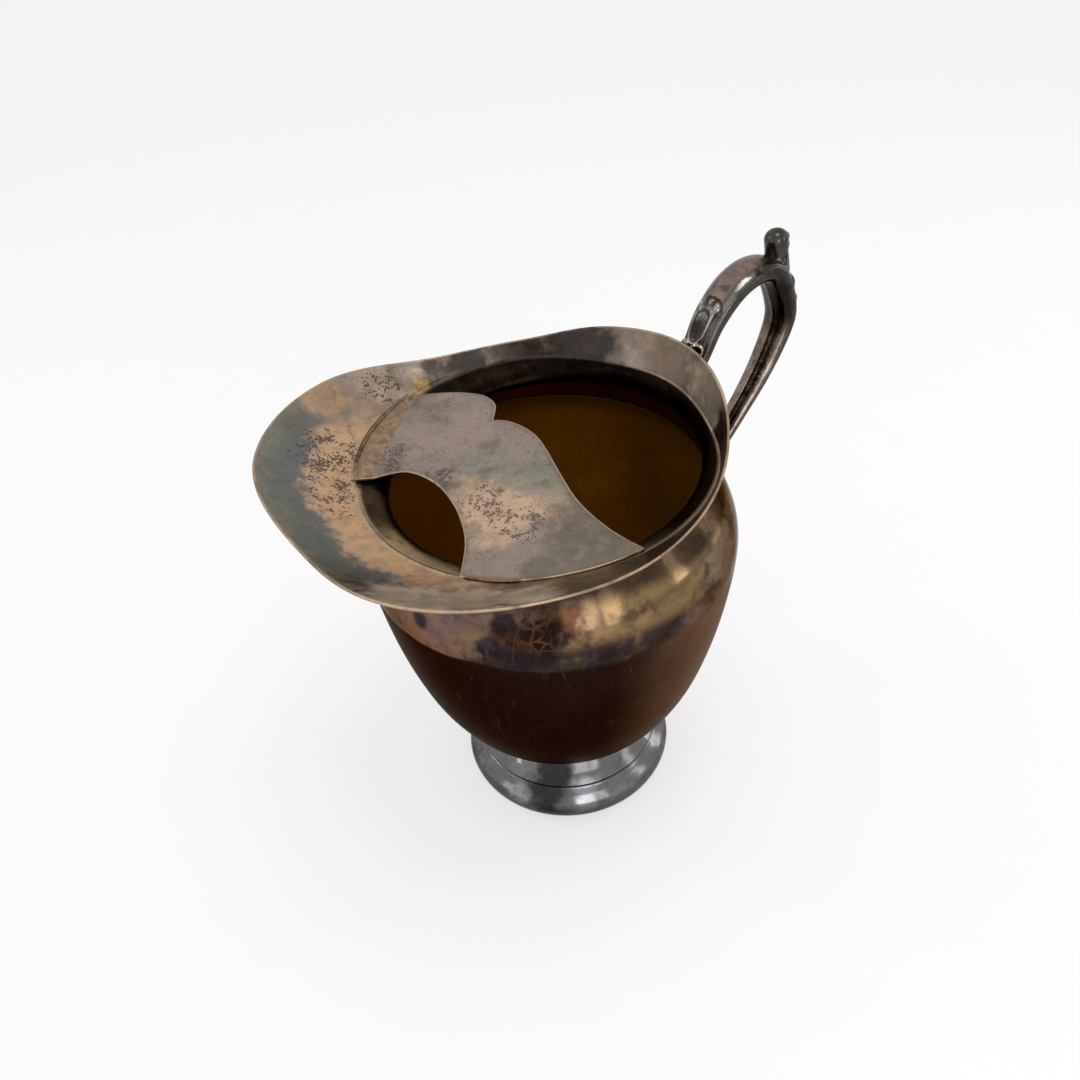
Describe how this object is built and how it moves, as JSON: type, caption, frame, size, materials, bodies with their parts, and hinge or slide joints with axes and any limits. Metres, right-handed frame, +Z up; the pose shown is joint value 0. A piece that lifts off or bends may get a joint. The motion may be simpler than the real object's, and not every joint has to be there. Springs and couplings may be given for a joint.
{
  "type": "ewer",
  "caption": "Footed metal water pitcher with a broad flared lip, an ice guard across the spout, an ear-shaped cast handle with a scroll thumb rest and a moulded foot.",
  "frame": {"origin": "centre of the ring that the foot stands on", "axes": "+Z up along the axis of the bowl, +X towards the spout, handle towards -X"},
  "size_m": [0.2529, 0.1868, 0.2379],
  "materials": {
    "bowl": "tarnished silver plate on brass, worn and brown",
    "lip": "tarnished silver plate on brass, grey and mauve",
    "foot": "polished silver plate on brass",
    "handle": "cast white metal, silver plated and tarnished",
    "solder": "soft solder, dull"
  },
  "bodies": {
    "root": {"body_shell": "bowl", "spout_collar": "lip", "neck_solder": "solder", "ice_guard": "lip", "guard_solder_far": "solder", "guard_solder_near": "solder", "foot_moulding": "foot", "foot_pedestal": "foot", "foot_solder": "solder", "handle_bow": "handle", "thumb_rest": "handle", "upper_leaf": "handle", "back_leaf": "handle", "upper_pad": "handle", "lower_pad": "handle", "upper_handle_solder": "solder", "lower_handle_solder": "solder"}
  },
  "joints": []
}
